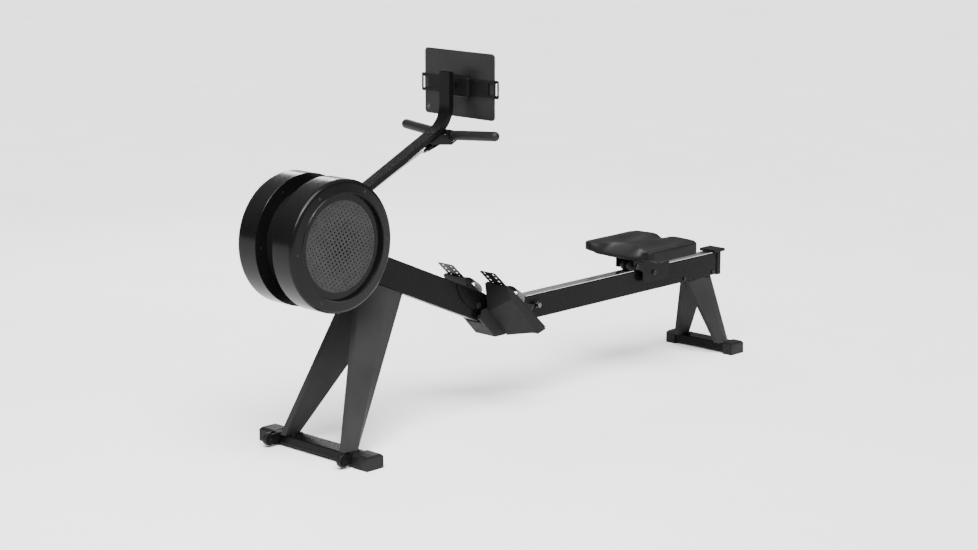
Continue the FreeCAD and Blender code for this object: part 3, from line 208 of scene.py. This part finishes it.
def vinyl(name):
    made = Finish(name)
    made.colour(grey(0.005), grey(0.008), 12)
    made.rough(0.36, 0.46, 22)
    made.relief(made.cells(620), 0.0003, 0.22)
    made.relief(made.noise(90, 5), 0.0005, 0.08)
    made.fixed(Specular_IOR_Level=0.07)
    return made.material


def webbing(name, level):
    made = Finish(name, uv=True)
    across = made.wave(520, "X", 0.6)
    along = made.wave(520, "Y", 0.6)
    weave = made.combine("MULTIPLY", across, along)
    tone = made.mix(weave, grey(level * 0.55), grey(level * 1.5))
    made.link(tone, made.shader.inputs["Base Color"])
    made.rough(0.75, 0.9, 60)
    made.relief(weave, 0.0006, 0.6)
    made.fixed(Specular_IOR_Level=0.25, Sheen_Weight=0.2)
    return made.material


def rubber(name, level, rough):
    made = Finish(name)
    made.colour(grey(level * 0.75), grey(level * 1.3), 14, edge=grey(level * 1.8))
    made.rough(rough - 0.07, rough + 0.08, 40)
    made.relief(made.noise(900, 6), 0.0003, 0.25)
    made.fixed(Specular_IOR_Level=0.14)
    return made.material


def foam_grip(name):
    made = Finish(name)
    made.colour(grey(0.004), grey(0.007), 20)
    made.rough(0.45, 0.58, 30)
    made.relief(made.cells(1500), 0.0003, 0.3)
    made.fixed(Specular_IOR_Level=0.2)
    return made.material


def braid(name):
    made = Finish(name)
    twill = made.combine("MULTIPLY", made.wave(160, "DIAGONAL"), made.wave(160, "X"))
    tone = made.mix(twill, grey(0.012), grey(0.05))
    made.link(tone, made.shader.inputs["Base Color"])
    made.relief(twill, 0.0005, 0.5)
    made.rough(0.7, 0.85)
    return made.material


def screen_glass(name):
    made = Finish(name)
    made.colour(grey(0.004, 0.3), grey(0.007, 0.3), 5)
    made.rough(0.04, 0.12, 9)
    made.relief(made.noise(30, 2), 0.0002, 0.02)
    made.fixed(Specular_IOR_Level=0.55)
    return made.material


def pale_floor(name):
    made = Finish(name)
    made.colour(grey(0.86), grey(0.89), 0.6)
    made.rough(0.55, 0.7, 3)
    made.relief(made.noise(120, 2), 0.0002, 0.05)
    made.fixed(Specular_IOR_Level=0.3)
    return made.material


FINISHES = {
    "frame_paint": powder_coat("frame_paint", 0.0028, 0.28, 0.06),
    # painted light: leg_paint sits about eight times above frame_paint, standing in for the light on the legs'
    # up-tilted facets; the legs wear the frame's black paint
    "leg_paint": powder_coat("leg_paint", 0.022, 0.45, 0.03),
    "drum_plastic": gloss_black("drum_plastic"),
    "grille_plastic": moulded("grille_plastic", 0.013, 0.5, 0.1, 1800),
    "trim_plastic": moulded("trim_plastic", 0.003, 0.42, 0.2, 2600, 0.08),
    "shell_plastic": moulded("shell_plastic", 0.0055, 0.5, 0.3, 1500, 0.09),
    "tablet_case": moulded("tablet_case", 0.008, 0.36, 0.05, 3000, 0.15),
    "track_metal": steel("track_metal", 0.55, 0.2, (0.3, 8, 8)),
    "bright_steel": steel("bright_steel", 0.1, 0.25),
    "chain_steel": steel("chain_steel", 0.5, 0.3),
    "dark_steel": moulded("dark_steel", 0.004, 0.34, 0.1, 900, 0.3),
    # painted shade: fan_metal is kept near black, standing in for the shade inside the drum so the grille's holes
    # read black
    "fan_metal": steel("fan_metal", 0.03, 0.42),
    "grip_rubber": foam_grip("grip_rubber"),
    "foot_rubber": rubber("foot_rubber", 0.004, 0.5),
    "roller_nylon": moulded("roller_nylon", 0.012, 0.4, 0.1, 900),
    "seat_vinyl": vinyl("seat_vinyl"),
    "webbing": webbing("webbing", 0.012),
    "cord_rubber": braid("cord_rubber"),
}
SCREEN = screen_glass("screen_glass")


def paint_frame():
    for part in frame["record"]["subparts"]:
        mesh = frame["nodes"][part["node"]].data
        mesh.materials.clear()
        mesh.materials.append(FINISHES[part["material_slot"]])


# ---- mesh helpers ------------------------------------------------------------------------------------

def new_piece(name, mesh_builder, finish, body, stands_for=(), smooth=True):
    mesh = bpy.data.meshes.new(name)
    mesh.from_pydata(*mesh_builder)
    mesh.validate()
    for face in mesh.polygons:
        face.use_smooth = smooth
    piece = bpy.data.objects.new(name, mesh)
    bpy.context.scene.collection.objects.link(piece)
    mesh.materials.append(FINISHES[finish] if isinstance(finish, str) else finish)
    if body:
        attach(piece, body)
    if stands_for:
        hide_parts(*stands_for)
    return piece


def subdivided(piece, levels=1):
    step = piece.modifiers.new("smooth", "SUBSURF")
    step.levels = levels
    step.render_levels = levels
    return piece


def smoothstep(value, low, high):
    t = min(1, max(0, (value - low) / (high - low)))
    return t * t * (3 - 2 * t)


def bell(value, width):
    return math.exp(-(value / width) ** 2)


# ---- seat --------------------------------------------------------------------------------------------

SEAT_ROWS = 64
SEAT_COLUMNS = 72
SEAT_CORNER = 27 * MM
SEAT_EDGE = 7 * MM


def seat_place(a, b, low, high):
    """Where a point of the square (-1..1, -1..1) lies on the seat's round-cornered plan."""
    middle = (low + high) / 2
    half = (high - low) / 2
    x, y = a * half.x, b * half.y
    past_x = abs(x) - (half.x - SEAT_CORNER)
    past_y = abs(y) - (half.y - SEAT_CORNER)
    if past_x > 0 and past_y > 0:
        shrink = max(past_x, past_y) / math.hypot(past_x, past_y)
        x = math.copysign(half.x - SEAT_CORNER + past_x * shrink, x)
        y = math.copysign(half.y - SEAT_CORNER + past_y * shrink, y)
    x -= 0.014 * bell(b, 0.17) * smoothstep(a, 0.6, 1)
    return middle.x + x, middle.y + y


def seat_top(a, b, reach):
    """How far the top lies below the seat's highest point; `reach` is the distance from the front edge."""
    across = abs(b)
    sides = 0.005 * smoothstep(across, 0.75, 1)
    hollow = 0.014 * bell(across - 0.5, 0.30) * bell(a - 0.12, 0.55)
    humps = 0.003 * (1 - bell(across - 0.4, 0.3) * smoothstep(a, 0.3, 0.95))
    cleft = 0.010 * bell(b, 0.15) * smoothstep(a, 0.05, 0.9)
    thigh = 0.009 * bell(across - 0.62, 0.26) * smoothstep(-a, 0.0, 0.9)
    depth = sides + hollow + humps + cleft + thigh
    apron = 0.006 + 0.064 * (1 - smoothstep(across, 0.35, 0.86))
    along = min(1, reach / apron)
    front = 0.038 * (1 - smoothstep(across, 0.7, 0.95)) + 0.004
    return depth + (front - depth) * (1 - along) ** 1.35 if front > depth else depth


def seat_bottom(a, b):
    """Height of the underside: flat on its plate, and stepped up round the front."""
    lip = 0.004 * smoothstep(-a, 0.7, 0.8)
    return lip + 0.009 * smoothstep(-a, 0.75, 0.9) * smoothstep(abs(b), 0.55, 0.8)


def seat_mesh():
    low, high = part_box("seat_pad")
    half = (high - low) / 2
    points = []
    for level in (1, 0):
        for i in range(SEAT_ROWS + 1):
            for j in range(SEAT_COLUMNS + 1):
                a = math.sin((i / SEAT_ROWS - 0.5) * math.pi)
                b = math.sin((j / SEAT_COLUMNS - 0.5) * math.pi)
                x, y = seat_place(a, b, low, high)
                inset = min((1 - abs(a)) * half.x, (1 - abs(b)) * half.y)
                edge = max(0, 1 - inset / SEAT_EDGE)
                drop = 1 - math.sqrt(1 - edge * edge)
                top = high.z - seat_top(a, b, (1 + a) * half.x)
                bottom = low.z + seat_bottom(a, b)
                if level:
                    z = top - drop * min(SEAT_EDGE, (top - bottom) * 0.5)
                else:
                    z = bottom + drop * 0.004
                points.append((x, y, z))
    width = SEAT_COLUMNS + 1
    count = (SEAT_ROWS + 1) * width
    faces = []
    for i in range(SEAT_ROWS):
        for j in range(SEAT_COLUMNS):
            at = i * width + j
            faces.append((at, at + width, at + width + 1, at + 1))
            faces.append((count + at, count + at + 1, count + at + width + 1, count + at + width))
    rim = list(range(width))
    rim += [i * width + width - 1 for i in range(1, SEAT_ROWS + 1)]
    rim += [SEAT_ROWS * width + j for j in range(width - 2, -1, -1)]
    rim += [i * width for i in range(SEAT_ROWS - 1, 0, -1)]
    for start, end in zip(rim, rim[1:] + rim[:1]):
        faces.append((start, end, end + count, start + count))
    return points, [], faces


def make_seat():
    seat = new_piece("seat_cushion", seat_mesh(), "seat_vinyl", "seat", ["seat_pad"])
    recalculate(seat)
    subdivided(seat, 1)


def recalculate(piece):
    work = bmesh.new()
    work.from_mesh(piece.data)
    bmesh.ops.recalc_face_normals(work, faces=work.faces)
    work.to_mesh(piece.data)
    work.free()


# ---- chain -------------------------------------------------------------------------------------------

CHAIN_PITCH = 6.35 * MM
LINK_HALF = 2.7 * MM
LINK_THICK = 0.8 * MM
INNER_LINK_REACH = 1.9 * MM
OUTER_LINK_REACH = 2.8 * MM


def link_plate(centre, along, up, out, length, half, thick):
    """A waisted link plate: its outline runs round two eyes, and it is extruded outwards."""
    ring = []
    for end in (1, -1):
        for step in range(-3, 4):
            turn = math.radians(step * 30 + (0 if end > 0 else 180))
            ring.append(centre + along * (end * length / 2 + half * math.cos(turn))
                        + up * half * math.sin(turn))
        ring.append(centre + up * (half * 0.62 * end))
    points = [p + out * side for side in (0, thick) for p in ring]
    count = len(ring)
    faces = [tuple(range(count)), tuple(range(2 * count - 1, count - 1, -1))]
    for i in range(count):
        j = (i + 1) % count
        faces.append((i, i + count, j + count, j))
    return points, faces


def pin(centre, along, up, out, radius, half, sides=8):
    turns = [i * math.tau / sides for i in range(sides)]
    ring = [along * (radius * math.cos(turn)) + up * (radius * math.sin(turn)) for turn in turns]
    points = [centre + out * (side * half) + p for side in (-1, 1) for p in ring]
    faces = [tuple(range(sides - 1, -1, -1)), tuple(range(sides, 2 * sides))]
    for i in range(sides):
        j = (i + 1) % sides
        faces.append((i, j, j + sides, i + sides))
    return points, faces


def gathered(parts):
    points = []
    faces = []
    for some_points, some_faces in parts:
        start = len(points)
        points += some_points
        faces += [tuple(i + start for i in face) for face in some_faces]
    return [tuple(p) for p in points], [], faces


def joint(name):
    return next(j for j in frame["joints"] if j["name"] == name)


def make_drive_chain():
    """Side plates, rollers and pins from the sprocket to the shackle."""
    low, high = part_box("drive_chain")
    along = Vector(joint("handle_pull")["axis"]).normalized()
    out = Vector((0, 1, 0))
    up = along.cross(-out)
    start = Vector((low.x, 0, low.z)) + (along + up) * LINK_HALF
    end = Vector((high.x, 0, high.z)) - (along + up) * LINK_HALF
    start = end - along * (end - start).length
    parts = []
    for index in range(int((end - start).length / CHAIN_PITCH)):
        centre = start + along * (CHAIN_PITCH * (index + 0.5))
        reach = INNER_LINK_REACH if index % 2 else OUTER_LINK_REACH
        for side in (1, -1):
            parts.append(link_plate(centre + out * side * reach, along, up, out * side,
                                    CHAIN_PITCH, LINK_HALF, LINK_THICK))
        parts.append(pin(centre - along * CHAIN_PITCH / 2, along, up, out, 1.7 * MM, 1.8 * MM))
        parts.append(pin(centre - along * CHAIN_PITCH / 2, along, up, out, 0.9 * MM, 3.9 * MM, 6))
    chain = new_piece("drive_chain_links", gathered(parts), "chain_steel", None, ["drive_chain"],
                      smooth=False)
    recalculate(chain)
    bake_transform(chain)


# ---- straps ------------------------------------------------------------------------------------------

BOARD_TILT = math.radians(42.85)
BOARD_START = Vector((-207 * MM, 0, 498.5 * MM))
BOARD_MIDDLE = 107.5 * MM
STRAP_HALF = 50.2 * MM
STRAP_THICK = 1.7 * MM
STRAP_SPANS = 36
# Where the webbing's lines lie from its toe edge (0) to its heel edge (1), and how far each is thinned.
STRAP_LINES = ((0, 0.5 * MM), (0.06, 0.35 * MM), (0.12, 0), (0.5, 0), (0.88, 0), (0.94, 0.35 * MM),
               (1, 0.5 * MM))


def strap_mesh(side, along, normal):
    """One strap: an arch over its board that rises a little toward the heel, with a hem each side."""
    points, faces = [], []
    for i in range(STRAP_SPANS + 1):
        for part, hem in STRAP_LINES:
            rise = (35.8 + 7.5 * part) * MM
            radius = (STRAP_HALF * STRAP_HALF + rise * rise) / (2 * rise)
            opening = math.atan2(radius - rise, STRAP_HALF)
            turn = opening + (math.pi - 2 * opening) * i / STRAP_SPANS
            for face in (-1, 1):
                distance = radius + (STRAP_THICK / 2 - hem) * face
                lift = rise - radius + distance * math.sin(turn)
                at = BOARD_START + along * ((70.5 + 49 * part) * MM) + normal * max(lift, 0.1 * MM)
                points.append(at + Vector((0, side * BOARD_MIDDLE + distance * math.cos(turn), 0)))
    row = 2 * len(STRAP_LINES)
    edges = range(0, row - 2, 2)
    for i in range(STRAP_SPANS):
        for a in (i * row + j for j in edges):
            faces.append((a, a + 2, a + row + 2, a + row))
            faces.append((a + 1, a + row + 1, a + row + 3, a + 3))
        for a in (i * row, i * row + row - 2):
            faces.append((a, a + row, a + row + 1, a + 1))
    for i in (0, STRAP_SPANS):
        for a in (i * row + j for j in edges):
            faces.append((a, a + 1, a + 3, a + 2))
    return points, faces


def make_straps():
    """Webbing over each footboard, a little thinner than its solid."""
    along = Vector((math.cos(BOARD_TILT), 0, -math.sin(BOARD_TILT)))
    normal = Vector((math.sin(BOARD_TILT), 0, math.cos(BOARD_TILT)))
    both = gathered([strap_mesh(side, along, normal) for side in (-1, 1)])
    straps = new_piece("toe_straps", both, "webbing", "frame", ["foot_straps"])
    recalculate(straps)
    strap_uv(straps, BOARD_START, along)


def strap_uv(straps, origin, along):
    """Lays the weave along and across the webbing, in metres."""
    layer = straps.data.uv_layers.new(name="weave")
    for loop in straps.data.loops:
        at = straps.data.vertices[loop.vertex_index].co
        layer.data[loop.index].uv = ((at - origin).dot(along), at.y * 1.25)


# ---- tablet ------------------------------------------------------------------------------------------

BEZEL = 9 * MM


def rounded_panel(centre, across, up, out, half_across, half_up, corner, thick):
    """A thin plate with round corners and a small bevel round its face."""
    points, faces = [], []
    loops = ((0.0, 0.0), (thick * 0.6, 0.0), (thick, thick * 0.4))
    corners = ((1, 1), (-1, 1), (-1, -1), (1, -1))
    for rise, inset in loops:
        for index, (sx, sy) in enumerate(corners):
            for step in range(7):
                turn = math.radians(90 * index + 15 * step)
                x = sx * (half_across - corner) + (corner - inset) * math.cos(turn)
                y = sy * (half_up - corner) + (corner - inset) * math.sin(turn)
                points.append(centre + across * x + up * y + out * rise)
    count = 28
    for level in range(len(loops) - 1):
        for i in range(count):
            j = (i + 1) % count
            a = level * count
            faces.append((a + i, a + j, a + count + j, a + count + i))
    faces.append(tuple(range(count - 1, -1, -1)))
    faces.append(tuple(range(2 * count, 3 * count)))
    return points, faces


def make_tablet_details():
    low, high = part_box("tablet")
    middle = (low + high) / 2
    across, up = Vector((0, 1, 0)), Vector((0, 0, 1))
    front = Vector((high.x, middle.y, middle.z))
    half_y, half_z = (high.y - low.y) / 2, (high.z - low.z) / 2
    glass = rounded_panel(front, across, up, Vector((1, 0, 0)), half_y - BEZEL, half_z - BEZEL,
                          6 * MM, 0.4 * MM)
    new_piece("tablet_screen", gathered([glass]), SCREEN, "tablet_holder", smooth=False)
    eye = Vector((low.x, high.y - 19 * MM, low.z + 24 * MM))
    away = Vector((-1, 0, 0))
    plate = rounded_panel(eye, -across, up, away, 10 * MM, 11 * MM, 4 * MM, 0.6 * MM)
    new_piece("tablet_eye_plate", gathered([plate]), "dark_steel", "tablet_holder", smooth=False)
    lens = rounded_panel(eye + away * 0.5 * MM, -across, up, away, 5.5 * MM, 5.5 * MM, 5.49 * MM, 1.0 * MM)
    new_piece("tablet_eye_lens", gathered([lens]), SCREEN, "tablet_holder", smooth=False)


# ---- stage -------------------------------------------------------------------------------------------

def make_floor():
    mesh = bpy.data.meshes.new("floor")
    reach = 60
    corners = [(-reach, -reach, 0), (reach, -reach, 0), (reach, reach, 0), (-reach, reach, 0)]
    mesh.from_pydata(corners, [], [(0, 1, 2, 3)])
    floor = bpy.data.objects.new("floor", mesh)
    bpy.context.scene.collection.objects.link(floor)
    mesh.materials.append(pale_floor("pale_floor"))


def make_world():
    """A pale room that is brighter overhead than at the sides."""
    world = bpy.data.worlds.new("studio")
    bpy.context.scene.world = world
    world.use_nodes = True
    tree = world.node_tree
    light = tree.nodes["Background"]
    place = tree.nodes.new("ShaderNodeTexCoord")
    split = tree.nodes.new("ShaderNodeSeparateXYZ")
    ramp = tree.nodes.new("ShaderNodeValToRGB")
    tree.links.new(place.outputs["Generated"], split.inputs[0])
    tree.links.new(split.outputs["Z"], ramp.inputs[0])
    ramp.color_ramp.elements[0].position = 0.0
    ramp.color_ramp.elements[0].color = (0.14, 0.14, 0.143, 1)
    ramp.color_ramp.elements[1].position = 0.75
    ramp.color_ramp.elements[1].color = (1, 1, 1, 1)
    tree.links.new(ramp.outputs["Color"], light.inputs["Color"])
    light.inputs["Strength"].default_value = 0.75


def aimed(obj, place, target):
    obj.location = place
    obj.rotation_mode = "QUATERNION"
    obj.rotation_quaternion = (Vector(target) - Vector(place)).to_track_quat("-Z", "Y")
    bpy.context.scene.collection.objects.link(obj)


def softbox(name, place, target, width, height, watts):
    light = bpy.data.lights.new(name, "AREA")
    light.shape = "RECTANGLE"
    light.size = width
    light.size_y = height
    light.energy = watts
    aimed(bpy.data.objects.new(name, light), place, target)


def make_lights():
    sun = bpy.data.lights.new("sun", "SUN")
    sun.energy = 8.5
    sun.angle = math.radians(50)
    aimed(bpy.data.objects.new("sun", sun), (-1.6, -2.3, 5.0), (0, 0, 0))
    softbox("strip", (-2.6, -1.6, 3.4), (-0.9, 0, 0.8), 1.6, 0.3, 110)
    softbox("arm", (-3.4, -1.3, 2.7), (-0.35, 0, 1.25), 0.8, 0.6, 45)
    softbox("rear", (1.6, 3.2, 2.2), (0, 0, 0.6), 2.4, 0.6, 60)


def make_camera():
    view = bpy.data.cameras.new("camera")
    view.sensor_width = 36
    view.lens = 84.54
    view.clip_end = 200
    camera = bpy.data.objects.new("camera", view)
    aimed(camera, (-6.1024, -5.7218, 2.2851), (-0.1368, 0, 0.5026))
    bpy.context.scene.camera = camera


paint_frame()
make_seat()
make_drive_chain()
make_straps()
make_tablet_details()
make_floor()
make_world()
make_lights()
make_camera()

bpy.context.view_layer.update()
